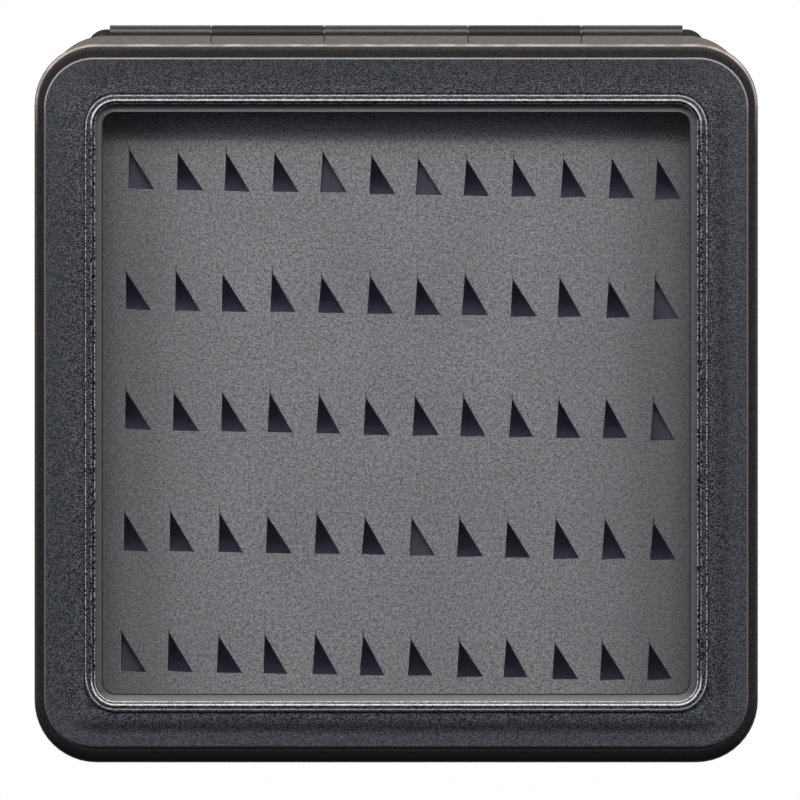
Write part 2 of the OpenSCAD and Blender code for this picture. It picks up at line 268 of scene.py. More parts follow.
# %% Set up a shared group
def new_group(name, inputs, outputs):
    """An empty shader group with named sockets: inputs are (name, value), outputs (name, kind)."""
    tree = bpy.data.node_groups.new(name, "ShaderNodeTree")
    for socket_name, value in inputs:
        socket = tree.interface.new_socket(
            name=socket_name, in_out="INPUT", socket_type="NodeSocketFloat"
        )
        socket.default_value = value
    for socket_name, kind in outputs:
        tree.interface.new_socket(name=socket_name, in_out="OUTPUT", socket_type=kind)
    return tree, add_node(tree, "NodeGroupInput"), add_node(tree, "NodeGroupOutput")


def place_group(tree, group, **values):
    """Puts a shared group into a material with its own values: underscores stand for spaces."""
    node = add_node(tree, "ShaderNodeGroup", node_tree=group)
    for name, value in values.items():
        node.inputs[name.replace("_", " ")].default_value = value
    return node


print("group helpers ready")

# %% [markdown]
# ## Shared effect: distance from a rounded outline
#
# The rim, the crease at the edge of the face and the worn bezel all follow rounded rectangles.
# The distance to such an outline is a short formula: fold the plane into one quarter, measure
# from the corner's centre, and take off the radius. It is negative inside and positive outside.

# %% Build the rounded outline group
outline_group, outline_in, outline_out = new_group(
    "rounded_outline",
    [("Half Width", 0.06), ("Half Depth", 0.06), ("Corner", 0.01)],
    [("Distance", "NodeSocketFloat")],
)


def build_rounded_outline(tree, group_in, group_out):
    corner = group_in.outputs["Corner"]
    beyond = []
    for axis, half in (("X", "Half Width"), ("Y", "Half Depth")):
        flat = maths(tree, "SUBTRACT", group_in.outputs[half], corner)
        folded = maths(tree, "ABSOLUTE", position(tree, axis))
        beyond.append(maths(tree, "SUBTRACT", folded, flat))
    rounded = [larger(tree, value, 0.0) for value in beyond]
    squares = maths(tree, "ADD", *(times(tree, value, value) for value in rounded))
    outside = maths(tree, "SQRT", squares)
    inside = maths(tree, "MINIMUM", larger(tree, *beyond), 0.0)
    away = maths(tree, "SUBTRACT", maths(tree, "ADD", outside, inside), corner)
    join(tree, away, group_out.inputs["Distance"])


def distance_from(tree, half_width, half_depth, corner):
    """How far a point is from a rounded rectangle, seen from above."""
    outline = place_group(
        tree, outline_group, Half_Width=half_width, Half_Depth=half_depth, Corner=corner
    )
    return outline.outputs["Distance"]


build_rounded_outline(outline_group, outline_in, outline_out)
print("group", outline_group.name, "has", len(outline_group.nodes), "nodes")

# %% [markdown]
# ## Shared effect: moulded grain
#
# A mould for a plastic case is often etched, so that the face comes out with a fine pebbled
# grain that hides scratches. Two noises of different size, added, give its height. Where the
# pebbles stand high they also catch more light, so the group puts out a speckle for the colour.
# A third noise lets single grains look a little warmer or cooler than the next. A low middle
# gives few pale grains on a dark ground.

# %% Build the grain group
COARSE_SCALE = 0.45
FINE_SHARE = 0.7
COARSE_SHARE = 0.3
SPECKLE_SPREAD = 4.0
TINT_SCALE = 0.7
TINT_ASIDE = (0.3, 0.1, 0.2)
TINT_BAND = (0.4, 0.6)

grain_group, grain_in, grain_out = new_group(
    "moulded_grain",
    [("Grain Size", 0.0004), ("Contrast", 1.0), ("Middle", 0.5)],
    [("Height", "NodeSocketFloat"), ("Speckle", "NodeSocketFloat"), ("Tint", "NodeSocketFloat")],
)


def plain_noise(tree, place, scale):
    """A noise without finer detail in it."""
    noise = add_node(tree, "ShaderNodeTexNoise", {"Detail": 0.0})
    join(tree, place, noise.inputs["Vector"])
    join(tree, scale, noise.inputs["Scale"])
    return noise.outputs["Fac"]


def build_moulded_grain(tree, group_in, group_out):
    place = add_node(tree, "ShaderNodeTexCoord").outputs["Object"]
    scale = maths(tree, "DIVIDE", 1.0, group_in.outputs["Grain Size"])
    fine = times(tree, plain_noise(tree, place, scale), FINE_SHARE)
    coarse_scale = times(tree, scale, COARSE_SCALE)
    coarse = times(tree, plain_noise(tree, place, coarse_scale), COARSE_SHARE)
    both = maths(tree, "ADD", fine, coarse)
    join(tree, both, group_out.inputs["Height"])
    spread = times(tree, maths(tree, "SUBTRACT", both, 0.5), SPECKLE_SPREAD)
    speckle = times(tree, spread, group_in.outputs["Contrast"])
    centred = maths(tree, "ADD", speckle, group_in.outputs["Middle"], clamp=True)
    join(tree, centred, group_out.inputs["Speckle"])
    aside = add_node(tree, "ShaderNodeVectorMath", operation="ADD")
    aside.inputs[1].default_value = TINT_ASIDE
    join(tree, place, aside.inputs[0])
    hue = plain_noise(tree, aside.outputs["Vector"], times(tree, scale, TINT_SCALE))
    join(tree, steps_between(tree, hue, *TINT_BAND), group_out.inputs["Tint"])


def place_grain(tree, size, contrast, **values):
    """The moulded grain with its own size and contrast."""
    return place_group(tree, grain_group, Grain_Size=size, Contrast=contrast, **values)


build_moulded_grain(grain_group, grain_in, grain_out)
print("group", grain_group.name, "has", len(grain_group.nodes), "nodes")

# %% [markdown]
# ## Shared effect: worn edges
#
# The corners of a handled case are rubbed smooth and show as thin pale lines. The Bevel node
# gives the normal that a rounded edge would have. Where it leans away from the true normal
# there is an edge, and how far it leans says how sharp the edge is.

# %% Build the edge group
BEVEL_SAMPLES = 6
LEAN_BAND = (0.01, 0.12)

edge_group, edge_in, edge_out = new_group(
    "worn_edges",
    [("Width", 0.0003)],
    [("Mask", "NodeSocketFloat"), ("Normal", "NodeSocketVector")],
)


def build_worn_edges(tree, group_in, group_out):
    rounded = add_node(tree, "ShaderNodeBevel", samples=BEVEL_SAMPLES)
    join(tree, group_in.outputs["Width"], rounded.inputs["Radius"])
    true_normal = add_node(tree, "ShaderNodeNewGeometry")
    agree = add_node(tree, "ShaderNodeVectorMath", operation="DOT_PRODUCT")
    join(tree, rounded.outputs["Normal"], agree.inputs[0])
    join(tree, true_normal.outputs["Normal"], agree.inputs[1])
    lean = maths(tree, "SUBTRACT", 1.0, agree.outputs["Value"])
    join(tree, steps_between(tree, lean, *LEAN_BAND), group_out.inputs["Mask"])
    join(tree, rounded.outputs["Normal"], group_out.inputs["Normal"])


build_worn_edges(edge_group, edge_in, edge_out)
print("group", edge_group.name, "has", len(edge_group.nodes), "nodes")

# %% [markdown]
# ## What all the materials need
#
# Plastic, foam and steel all start from Blender's Principled shader. Their colours are mixed
# from a few plain ones by masks. Relief as fine as grain isn't worth a mesh of its own, so a
# Bump node raises it, over the rounded normal of the worn edges where a piece has them. The
# gloss of plastic comes in two ways: as the strength of its mirror-like reflection, and as a
# thin clear coat where the mould was polished.

# %% Set up a material and mix its colours
def new_material(name):
    """A material with a plain Principled shader, and its tree and shader."""
    material = bpy.data.materials.new(name)
    material.use_nodes = True
    tree = material.node_tree
    return material, tree, tree.nodes["Principled BSDF"]


def finish_with(node_name, material):
    """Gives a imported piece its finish. Its shape stays as it is."""
    piece = nodes[node_name]
    for slot in piece.material_slots:
        slot.material = material
    if not piece.material_slots:
        piece.data.materials.append(material)


def mix_colours(tree, share, first, second):
    """Mixes two colours, each a socket or three numbers, by a share from 0 to 1."""
    node = add_node(tree, "ShaderNodeMix", data_type="RGBA")
    join(tree, share, node.inputs["Factor"])
    for name, colour in (("A", first), ("B", second)):
        socket = next(s for s in node.inputs if s.name == name and s.type == "RGBA")
        if isinstance(colour, tuple):
            socket.default_value = (*colour, 1)
        else:
            join(tree, colour, socket)
    return next(s for s in node.outputs if s.type == "RGBA")


print("colour helpers ready")

# %% Raise a surface and make it glossy
POLISHED = 0.85
SATIN = 0.4
GLOSS_ROUGHNESS = 0.14


def add_bump(tree, shader, height, strength, full_height, normal=None):
    """Raises a surface by a height pattern, over a rounded normal where one is given."""
    bump = add_node(tree, "ShaderNodeBump", {"Strength": strength, "Distance": full_height})
    join(tree, height, bump.inputs["Height"])
    if normal is not None:
        join(tree, normal, bump.inputs["Normal"])
    join(tree, bump.outputs["Normal"], shader.inputs["Normal"])


def polish(shader, level=POLISHED):
    """Gives plastic its gloss: polished parts mirror the lamps, satin parts spread them."""
    shader.inputs["Specular IOR Level"].default_value = level


def add_gloss(tree, shader, mask):
    """A thin clear gloss where the mask is 1."""
    shader.inputs["Coat Roughness"].default_value = GLOSS_ROUGHNESS
    join(tree, mask, shader.inputs["Coat Weight"])


print("reflection of polished plastic", POLISHED, "and of satin plastic", SATIN)

# %% [markdown]
# ## The lid: where is what
#
# The lid is one moulding, but its face is etched and its rim is polished. One material serves
# both: the distance from the face's outline says which is which. More masks mark the front and
# the back, where the lid wears in its own way, and the knuckles and the barrel of the hinge.
# A band below is where a mask starts and where it is full: in metres from an outline, or as
# shares of the lid's half size.

# %% Mark the lid's zones
FACE_BAND = (-0.4 * MM, -0.25 * MM)
FRONT_RIM_BAND = (0.9, 0.97)
BACK_BAND = (0.72, 0.97)
KNUCKLE_START = LID_HALF_DEPTH + 0.1 * MM
KNUCKLE_FULL = LID_HALF_DEPTH + 0.4 * MM
BARREL_START = 68.5 * MM
BARREL_FULL = BARREL_START + 0.2 * MM


def lid_zones(tree):
    """The coordinates, distances and masks that the lid's layers share, by name."""
    y = position(tree, "Y")
    face_edge = distance_from(
        tree,
        LID_HALF_WIDTH - RIM_SIDE,
        LID_HALF_DEPTH - RIM_END,
        LID_CORNER - (RIM_SIDE + RIM_END) / 2,
    )
    return {
        "x": position(tree, "X"),
        "y": y,
        "outline": distance_from(tree, LID_HALF_WIDTH, LID_HALF_DEPTH, LID_CORNER),
        "face edge": face_edge,
        "on face": steps_between(tree, face_edge, *FACE_BAND, 1.0, 0.0),
        "front rim": past(tree, y, -LID_HALF_DEPTH, FRONT_RIM_BAND),
        "back": past(tree, y, LID_HALF_DEPTH, BACK_BAND),
        "knuckle": steps_between(tree, y, KNUCKLE_START, KNUCKLE_FULL),
        "barrel": steps_between(tree, y, BARREL_START, BARREL_FULL),
    }


print("hinge barrel starts", round(BARREL_START / MM, 1), "mm behind the middle")

# %% [markdown]
# ## The lid's face
#
# The flat face looks dark slate grey, because its grain scatters light. Towards the rim the
# grain gets shallower. In front, and less so at the right, the face is paler near the rim and
# darker near the bezel; in front this darkening is painted shade, the bezel's shadow. Its four
# corners are a little cleaner too, the strip behind the window a little darker, and in front a
# thin pale line is painted where the bezel meets the face: painted light over the bezel's
# thin shadow.

# %% Colour the face
FACE_DARK = (0.0005, 0.0008, 0.002)
FACE_COOL = (0.117, 0.148, 0.206)
FACE_WARM = (0.141, 0.142, 0.153)
FACE_PALER = (0.16, 0.168, 0.185)
# Painted light: a pale line over the bezel's thin shadow on the face in front.
PAINTED_FILL_LINE = (0.45, 0.46, 0.48)
GRAIN_MIDDLE = 0.32
NEAR_EDGE_BAND = (0.87, 0.9)
CORNER_BAND = (0.8, 0.9)
OUTWARD_BAND = (-7 * MM, -4.4 * MM)
RIGHT_SHARE = 0.45
# How dark the face is painted near the bezel; in front this is painted shade of the bezel.
DARK_IN_FRONT = 0.64
DARK_BEHIND = 0.17
PALER_AT_RIM = 0.1
CLEAN_IN_CORNERS = 0.09
FILL_LINE_OUT = 0.08 * MM
FILL_LINE_WIDTH = 0.07 * MM


def face_colour(tree, zone, grain, depth_of_grain):
    """Pale grains on a dark ground, with painted shade and painted light near the bezel."""
    pale = mix_colours(tree, grain.outputs["Tint"], FACE_COOL, FACE_WARM)
    centred = maths(tree, "SUBTRACT", grain.outputs["Speckle"], GRAIN_MIDDLE)
    speckle = maths(tree, "ADD", times(tree, centred, depth_of_grain), GRAIN_MIDDLE)
    colour = mix_colours(tree, speckle, FACE_DARK, pale)
    front = past(tree, zone["y"], -LID_HALF_DEPTH, NEAR_EDGE_BAND)
    right = past(tree, zone["x"], LID_HALF_WIDTH, NEAR_EDGE_BAND, RIGHT_SHARE)
    behind = past(tree, zone["y"], LID_HALF_DEPTH, NEAR_EDGE_BAND, DARK_BEHIND)
    front_or_right = larger(tree, front, right)
    outward = steps_between(tree, zone["outline"], *OUTWARD_BAND)
    # Darker near the bezel in front and at the right; in front it is painted shade, the bezel's
    # shadow.
    darker_near_bezel = times(tree, front_or_right, share_to(tree, outward, DARK_IN_FRONT, 0.0))
    paler_near_rim = times(tree, front_or_right, share_to(tree, outward, 0.0, PALER_AT_RIM))
    across = maths(tree, "ABSOLUTE", zone["x"])
    along = maths(tree, "ABSOLUTE", zone["y"])
    in_corner = times(
        tree,
        past(tree, across, LID_HALF_WIDTH, CORNER_BAND),
        past(tree, along, LID_HALF_DEPTH, CORNER_BAND, CLEAN_IN_CORNERS),
    )
    colour = mix_colours(tree, larger(tree, darker_near_bezel, behind), colour, FACE_DARK)
    colour = mix_colours(tree, larger(tree, paler_near_rim, in_corner), colour, FACE_PALER)
    bezel_edge = distance_from(tree, bezel_high.x, bezel_high.y, BEZEL_CORNER)
    # Painted light: a thin pale line where the bezel's shadow falls in front.
    painted_fill = times(tree, line_at(tree, bezel_edge, FILL_LINE_OUT, FILL_LINE_WIDTH), front)
    return mix_colours(tree, painted_fill, colour, PAINTED_FILL_LINE)


print("dust line", round(FILL_LINE_WIDTH / MM, 2), "mm wide")

# %% [markdown]
# ## The lid's rim, its worn lines and painted highlights
#
# The polished rim is almost black from above, and in front it is painted blacker still: painted
# shade on the side away from the lamp. The edge of the face stands up a little, and its line is
# painted paler: wear at the sides, and a painted highlight at the back, where it faces the
# lamp. The rim's outer edge carries a warm painted glint at the back, in patches and not as one
# even line. In front the crease is fainter, and a second faint line shows just outside it.

# %% Colour the rim and lay the worn lines and painted highlights over it
TRAY_COLOUR = (0.016, 0.014, 0.0125)
RIM_DARK = (0.004, 0.0028, 0.004)
RIM_PALE = (0.024, 0.019, 0.024)
# Painted shade: the front rim, turned away from the lamp, is painted blacker.
RIM_FRONT_SHADE = (0.0008, 0.0005, 0.0012)
RUBBED_COLOUR = (0.14, 0.14, 0.135)
# At the back the lines are painted paler: painted highlight where they face the lamp.
HIGHLIGHT_AND_WEAR_BACK = (0.34, 0.35, 0.37)
# A painted glint of the lamp on the rim's outer edge at the back.
PAINTED_GLINT = (0.50, 0.41, 0.37)
CREASE_IN = 0.17 * MM
CREASE_WIDTH = 0.14 * MM
CREASE_IN_FRONT = 0.15
STEP_IN = 2.3 * MM
STEP_WIDTH = 0.13 * MM
STEP_IN_FRONT = 0.12
EDGE_IN = 0.38 * MM
EDGE_WIDTH = 0.22 * MM
OTHER_EDGES = 0.15
PATCH_SIZE = 3 * MM
PATCH_CONTRAST = 0.8
PATCH_LEAST = 0.55


def rim_colour(tree, zone, grain):
    """Nearly black, with the tray's colour on the knuckles."""
    rim = mix_colours(tree, grain.outputs["Speckle"], RIM_DARK, RIM_PALE)
    # Painted shade: blacker in front, away from the lamp.
    rim = mix_colours(tree, zone["front rim"], rim, RIM_FRONT_SHADE)
    return mix_colours(tree, zone["knuckle"], rim, TRAY_COLOUR)


def with_wear_and_painted_light(tree, zone, edges, colour):
    """Lays the worn lines, painted highlights and the painted glint over a colour."""
    in_front = zone["front rim"]
    crease = line_at(tree, zone["face edge"], -CREASE_IN, CREASE_WIDTH)
    crease = times(tree, crease, share_to(tree, in_front, 1.0, CREASE_IN_FRONT))
    step_line = line_at(tree, zone["outline"], -STEP_IN, STEP_WIDTH)
    step_line = times(tree, step_line, share_to(tree, in_front, 0.0, STEP_IN_FRONT))
    elsewhere = times(tree, edges.outputs["Mask"], OTHER_EDGES)
    wear_and_painted_light = larger(tree, elsewhere, larger(tree, crease, step_line))
    # Paler at the back: painted highlight; elsewhere wear.
    wear_and_highlight_colour = mix_colours(tree, zone["back"], RUBBED_COLOUR, HIGHLIGHT_AND_WEAR_BACK)
    colour = mix_colours(tree, wear_and_painted_light, colour, wear_and_highlight_colour)
    # Painted glint on the outer edge at the back, broken into patches.
    outer = line_at(tree, zone["outline"], -EDGE_IN, EDGE_WIDTH)
    patches = place_grain(tree, PATCH_SIZE, PATCH_CONTRAST).outputs["Speckle"]
    painted_light = times(tree, outer, share_to(tree, patches, PATCH_LEAST, 1.0))
    not_knuckle = maths(tree, "SUBTRACT", 1.0, zone["knuckle"])
    painted_light = times(tree, times(tree, painted_light, zone["back"]), not_knuckle)
    return mix_colours(tree, painted_light, colour, PAINTED_GLINT)


print("worn lines", [round(v / MM, 2) for v in (CREASE_WIDTH, STEP_WIDTH, EDGE_WIDTH)], "mm wide")

# %% [markdown]
# ## The lid's surface
#
# The rim is slightly domed: a shallow swelling in its height bends the reflections as the real
# one does, and a thin clear gloss lies over it alone. The face has its pebbles, shallower
# towards the rim, and the rim has only a trace of them.

# %% Finish the lid
LID_GRAIN = 0.215 * MM
LID_CONTRAST = 1.05
LID_EDGES = 0.15 * MM
SHALLOW_BAND = (-8.5 * MM, -3.5 * MM)
SHALLOW_SHARE = 0.66
RIM_ROUGHNESS = 0.42
FACE_ROUGHNESS = 0.4
FRONT_GLOSS = 0.6
DOME_WIDTH = 1.5 * MM
DOME_HEIGHT = 0.14
RIM_PEBBLES = 0.01
FACE_PEBBLES = 0.1


def lid_material():
    material, tree, shader = new_material("lid_plastic")
    zone = lid_zones(tree)
    on_face = zone["on face"]
    grain = place_grain(tree, LID_GRAIN, LID_CONTRAST, Middle=GRAIN_MIDDLE)
    edges = place_group(tree, edge_group, Width=LID_EDGES)
    depth_of_grain = steps_between(tree, zone["outline"], *SHALLOW_BAND, 1.0, SHALLOW_SHARE)
    face = face_colour(tree, zone, grain, depth_of_grain)
    body = mix_colours(tree, on_face, rim_colour(tree, zone, grain), face)
    join(tree, with_wear_and_painted_light(tree, zone, edges, body), shader.inputs["Base Color"])
    roughness = share_to(tree, on_face, RIM_ROUGHNESS, FACE_ROUGHNESS)
    join(tree, roughness, shader.inputs["Roughness"])
    polish(shader, SATIN)
    on_rim = maths(tree, "SUBTRACT", 1.0, larger(tree, on_face, zone["barrel"]))
    duller = share_to(tree, zone["front rim"], 1.0, FRONT_GLOSS)
    add_gloss(tree, shader, times(tree, on_rim, duller))
    dome = steps_between(tree, zone["outline"], -DOME_WIDTH, 0.0, DOME_HEIGHT, 0.0)
    pebble_height = share_to(tree, on_face, RIM_PEBBLES, FACE_PEBBLES)
    pebbles = times(tree, grain.outputs["Height"], pebble_height)
    height = maths(tree, "ADD", dome, times(tree, pebbles, depth_of_grain))
    add_bump(tree, shader, height, 1.0, MM, edges.outputs["Normal"])
    return material


finish_with("lid_frame", lid_material())
print("lid finished, with grain of", round(LID_GRAIN / MM, 3), "mm")

# %% [markdown]
# ## The tray and the lever: smooth black plastic
#
# The tray is moulded in the same black plastic without the etched grain. Its sloping ledge and
# hinge barrel show as bright strips behind the lid, because a smooth surface mirrors the lamp.
# A faint waviness, as from the mould, keeps the reflections from looking drawn with a ruler. The
# hinge barrel is duller than the rest, because it rubs on whatever the box lies against. The
# edges are rubbed paler, unevenly.

# %% Finish the tray and the lever
TRAY_PALE = tuple(1.35 * c for c in TRAY_COLOUR)
TRAY_EDGE = (0.14, 0.138, 0.13)
TRAY_EDGE_WIDTH = 0.2 * MM
HAZE_SIZE = 1.1 * MM
HAZE_CONTRAST = 0.5
HAZE_LEAST = 0.4
HAZE_POLISHED = -0.04
HAZE_DULL = 0.05
FINE_SIZE = 0.25 * MM
FINE_CONTRAST = 0.7
BARREL_DULL = 0.2
WAVE_STRENGTH = 0.05
WAVE_HEIGHT = 0.1 * MM


def smooth_plastic(name, roughness, edge_share):
    material, tree, shader = new_material(name)
    edges = place_group(tree, edge_group, Width=TRAY_EDGE_WIDTH)
    haze = place_grain(tree, HAZE_SIZE, HAZE_CONTRAST)
    fine = place_grain(tree, FINE_SIZE, FINE_CONTRAST)
    uneven = maths(tree, "ADD", haze.outputs["Speckle"], HAZE_LEAST)
    share = times(tree, edges.outputs["Mask"], edge_share)
    wear_and_painted_light = maths(tree, "MULTIPLY", share, uneven, clamp=True)
    body = mix_colours(tree, fine.outputs["Speckle"], TRAY_COLOUR, TRAY_PALE)
    join(tree, mix_colours(tree, wear_and_painted_light, body, TRAY_EDGE), shader.inputs["Base Color"])
    hazed = share_to(
        tree, haze.outputs["Speckle"], roughness + HAZE_POLISHED, roughness + HAZE_DULL
    )
    barrel = steps_between(
        tree, position(tree, "Y"), BARREL_START, BARREL_FULL, 0.0, BARREL_DULL
    )
    join(tree, maths(tree, "ADD", hazed, barrel), shader.inputs["Roughness"])
    polish(shader)
    height, normal = haze.outputs["Height"], edges.outputs["Normal"]
    add_bump(tree, shader, height, WAVE_STRENGTH, WAVE_HEIGHT, normal)
    return material


finish_with("base_tray", smooth_plastic("tray_plastic", roughness=0.17, edge_share=0.18))
finish_with("latch_lever", smooth_plastic("lever_plastic", roughness=0.2, edge_share=0.3))
print("smooth pieces finished")

# %% [markdown]
# ## The bezel: grained, with worn lines and painted highlights
#
# The bezel has the face's grain on its slope, only stronger. Its outer edge, its crest and its
# inner foot each have a broken silvery line: partly wear, partly painted highlights where
# these edges catch the lamp. The outer line runs all round and is stronger at the sides. The
# crest's line, a painted highlight, is brightest in front and at the back, where it is the
# brightest line in the whole picture, and the foot's line, a painted glint, is bright in front
# and at the sides and hardly shows at the back. Bands of the outline's distance place the
# lines, and a speckle breaks them up, less so at the two ends. The crest itself is rubbed
# smooth and glossy.

# %% Choose the bezel's colours and lines
BEZEL_DARK = (0.001, 0.0015, 0.005)
BEZEL_PALE = (0.060, 0.069, 0.094)
# Colour of the bezel's lines: silvery wear and painted highlights.
SILVER_WEAR_AND_HIGHLIGHT = (0.92, 0.94, 0.97)
BEZEL_GRAIN = 0.26 * MM
BEZEL_CONTRAST = 3.2
BEZEL_EDGES = 0.12 * MM
BEZEL_END_BAND = (0.85, 0.95)
LINE_WIDTH = 0.13 * MM
OUTER_IN = 0.08 * MM
CREST_IN = 1.18 * MM
CREST_WIDTH = 1.3 * LINE_WIDTH
FOOT_IN = 1.82 * MM
FOOT_WIDTH = 0.7 * LINE_WIDTH
FRONT_SHIFT = 0.12 * MM
END_SHIFT = 0.22 * MM
# How strong each line is: the outer and the crest's at the sides and at the ends, and the
# foot's elsewhere and at the back.
OUTER_LEVELS = (0.8, 0.42)
CREST_LEVELS = (0.3, 1.0)
FOOT_LEVELS = (0.95, 0.1)
DOTS = 0.62
UNBROKEN_AT_ENDS = 0.6
CREST_BAND = (-0.85 * MM, -1.05 * MM)
SLOPE_ROUGHNESS = 0.75
CREST_ROUGHNESS = 0.16
BEZEL_BUMP = 0.5
BEZEL_GRAIN_HEIGHT = 0.06 * MM
print("bezel's lines", [round(v / MM, 2) for v in (OUTER_IN, CREST_IN, FOOT_IN)], "mm in")

# %% Finish the bezel
def bezel_lines(tree, ring, dots):
    """The three lines, wear and painted highlights, in one mask, broken up into dots."""
    y = position(tree, "Y")
    front = past(tree, y, -bezel_high.y, BEZEL_END_BAND)
    back = past(tree, y, bezel_high.y, BEZEL_END_BAND)
    at_end = maths(tree, "ADD", front, back)
    inward = maths(tree, "ADD", ring, times(tree, front, FRONT_SHIFT))
    outer_place = maths(tree, "ADD", inward, share_to(tree, at_end, 0.0, END_SHIFT))
    outer_line = line_at(tree, outer_place, -OUTER_IN, LINE_WIDTH)
    crest_line = line_at(tree, inward, -CREST_IN, CREST_WIDTH)
    foot_line = line_at(tree, ring, -FOOT_IN, FOOT_WIDTH)
    outer_line = times(tree, outer_line, share_to(tree, at_end, *OUTER_LEVELS))
    crest_line = times(tree, crest_line, share_to(tree, at_end, *CREST_LEVELS))
    foot_line = times(tree, foot_line, share_to(tree, back, *FOOT_LEVELS))
    lines = larger(tree, larger(tree, outer_line, crest_line), foot_line)
    unbroken = times(tree, at_end, UNBROKEN_AT_ENDS)
    shown = maths(tree, "ADD", times(tree, dots, DOTS), unbroken)
    return maths(tree, "MULTIPLY", lines, shown, clamp=True)


def bezel_material():
    material, tree, shader = new_material("bezel_plastic")
    ring = distance_from(tree, bezel_high.x, bezel_high.y, BEZEL_CORNER)
    grain = place_grain(tree, BEZEL_GRAIN, BEZEL_CONTRAST)
    speckle = grain.outputs["Speckle"]
    edges = place_group(tree, edge_group, Width=BEZEL_EDGES)
    body = mix_colours(tree, speckle, BEZEL_DARK, BEZEL_PALE)
    # The lines are silvery wear and painted highlights.
    colour = mix_colours(tree, bezel_lines(tree, ring, speckle), body, SILVER_WEAR_AND_HIGHLIGHT)
    join(tree, colour, shader.inputs["Base Color"])
    on_crest = steps_between(tree, ring, *CREST_BAND)
    roughness = share_to(tree, on_crest, SLOPE_ROUGHNESS, CREST_ROUGHNESS)
    join(tree, roughness, shader.inputs["Roughness"])
    polish(shader, SATIN)
    add_gloss(tree, shader, on_crest)
    height, normal = grain.outputs["Height"], edges.outputs["Normal"]
    add_bump(tree, shader, height, BEZEL_BUMP, BEZEL_GRAIN_HEIGHT, normal)
    return material


finish_with("window_bezel", bezel_material())
print("bezel finished")

# %% [markdown]
# ## The pins: drawn steel
#
# A hinge pin is cut from drawn wire, which has fine lines along its length. Noise stretched
# along X gives them, in the roughness and a little in the height.

# %% Finish the pins
STEEL_DARK = (0.42, 0.42, 0.43)
STEEL_PALE = (0.62, 0.62, 0.63)
DRAWN_LINES = (60, 9000, 9000)
DRAWN_DETAIL = 3.0
DRAWN_BAND = (0.3, 0.7)
DRAWN_ROUGHNESS = (0.25, 0.42)
DRAWN_BUMP = 0.2
DRAWN_HEIGHT = 0.01 * MM


def drawn_steel():
    material, tree, shader = new_material("pin_steel")
    place = add_node(tree, "ShaderNodeTexCoord")
    stretch = add_node(tree, "ShaderNodeMapping", {"Scale": DRAWN_LINES})
    noise = add_node(tree, "ShaderNodeTexNoise", {"Scale": 1.0, "Detail": DRAWN_DETAIL})
    join(tree, place.outputs["Object"], stretch.inputs["Vector"])
    join(tree, stretch.outputs["Vector"], noise.inputs["Vector"])
    lines = noise.outputs["Fac"]
    shader.inputs["Metallic"].default_value = 1.0
    join(tree, mix_colours(tree, lines, STEEL_DARK, STEEL_PALE), shader.inputs["Base Color"])
    roughness = steps_between(tree, lines, *DRAWN_BAND, *DRAWN_ROUGHNESS)
    join(tree, roughness, shader.inputs["Roughness"])
    add_bump(tree, shader, lines, DRAWN_BUMP, DRAWN_HEIGHT)
    return material


steel = drawn_steel()
finish_with("hinge_pin", steel)
finish_with("latch_pin", steel)
print("pins finished")

# %% [markdown]
# ## The window
#
# The pane is clear plastic about a millimetre thick. Light must pass through it onto the foam,
# and a refracting pane would leave the foam to noisy caustics, so for shadow rays and diffuse
# rays the material turns transparent. Light Path stays here in the material.
#
# The pane is held by milky tape, and a strip of it shows all round inside the bezel. The strip
# is painted palest at the front and darker at the sides: painted light. Its cut inner edge shows
# as a thin line: dark with dust at the front and the sides, and at the back painted pale, a
# painted highlight. Alpha lets some of the ledge's black through without any refraction.

# %% Finish the pane
PANE_COLOUR = (0.97, 0.98, 0.985, 1)
PANE_SHADOW = (0.94, 0.95, 0.955, 1)
PANE_ROUGHNESS = 0.02
PANE_INDEX = 1.49


def surface_from(tree, share, first, second):
    """Sends a mix of two shaders to the material's surface."""
    pick = add_node(tree, "ShaderNodeMixShader")
    join(tree, share, pick.inputs[0])
    join(tree, first.outputs[0], pick.inputs[1])
    join(tree, second.outputs[0], pick.inputs[2])
    join(tree, pick.outputs[0], tree.nodes["Material Output"].inputs["Surface"])


def clear_plastic():
    material, tree, shader = new_material("clear_plastic")
    shader.inputs["Base Color"].default_value = PANE_COLOUR
    shader.inputs["Roughness"].default_value = PANE_ROUGHNESS
    shader.inputs["IOR"].default_value = PANE_INDEX
    shader.inputs["Transmission Weight"].default_value = 1.0
    path = add_node(tree, "ShaderNodeLightPath")
    clear = add_node(tree, "ShaderNodeBsdfTransparent", {"Color": PANE_SHADOW})
    passes = larger(tree, path.outputs["Is Shadow Ray"], path.outputs["Is Diffuse Ray"])
    surface_from(tree, passes, shader, clear)
    return material


finish_with("window_pane", clear_plastic())
print("pane finished")

# %% Finish its tape
# Painted light: the strip is paler at the front than at the sides.
TAPE_FRONT = (0.37, 0.38, 0.39)
TAPE_SIDE = (0.165, 0.17, 0.187)
CUT_DARK = (0.030, 0.031, 0.035)
# Painted highlight on the cut edge at the back.
CUT_LIT = (0.55, 0.57, 0.61)
CUT_BAND = (0.08 * MM, 0.26 * MM)
TAPE_END_BAND = (0.93, 0.97)
TAPE_HAZE = 0.85
CUT_HAZE = 0.97
TAPE_WIDTH = 3.3 * MM
TAPE_CORNER = 2.4 * MM
TAPE_ROUGHNESS = 0.25
BEAD_HEIGHT = 0.08 * MM


